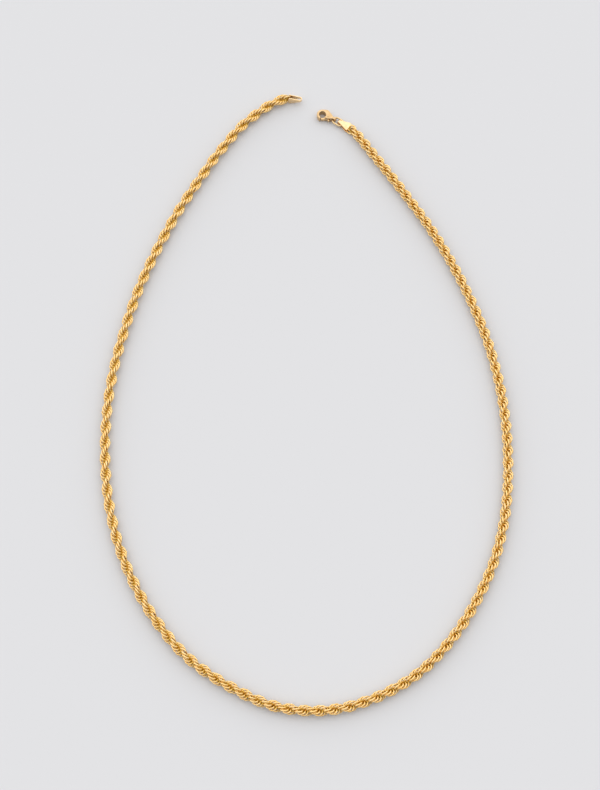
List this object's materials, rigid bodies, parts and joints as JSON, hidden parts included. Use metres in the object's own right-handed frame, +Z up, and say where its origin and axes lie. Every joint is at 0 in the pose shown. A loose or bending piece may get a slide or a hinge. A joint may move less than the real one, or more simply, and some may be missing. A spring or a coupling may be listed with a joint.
{
  "type": "rope chain necklace",
  "caption": "Gold rope chain necklace with twisted interlocking links, folded end tags, an oval jump ring and a claw clasp with a sprung lever, lying open.",
  "frame": {"origin": "middle of the open loop's outline, on the table that the necklace lies on", "axes": "+Z up from the table, +Y from the lowest part of the loop to the clasp end, +X to the right seen from above"},
  "size_m": [0.1258, 0.2065, 0.0035],
  "materials": {
    "rope_gold": "polished yellow gold",
    "tag_gold": "polished pale yellow gold",
    "ring_gold": "polished yellow gold",
    "clasp_gold": "polished cast yellow gold"
  },
  "bodies": {
    "necklace": {"rope_chain": "rope_gold", "loop_tag": "tag_gold", "hook_tag": "tag_gold", "jump_ring": "ring_gold", "clasp_body": "clasp_gold", "clasp_rivet": "clasp_gold"},
    "lever": {"clasp_lever": "clasp_gold"}
  },
  "joints": [
    {"name": "lever_press", "type": "hinge", "parent": "necklace", "child": "lever", "pos_m": [0.00739, 0.0943, 0.00105], "axis": [0, 0, -1], "range_deg": [0, 28], "stiffness_Nm_per_rad": 0.0005}
  ]
}
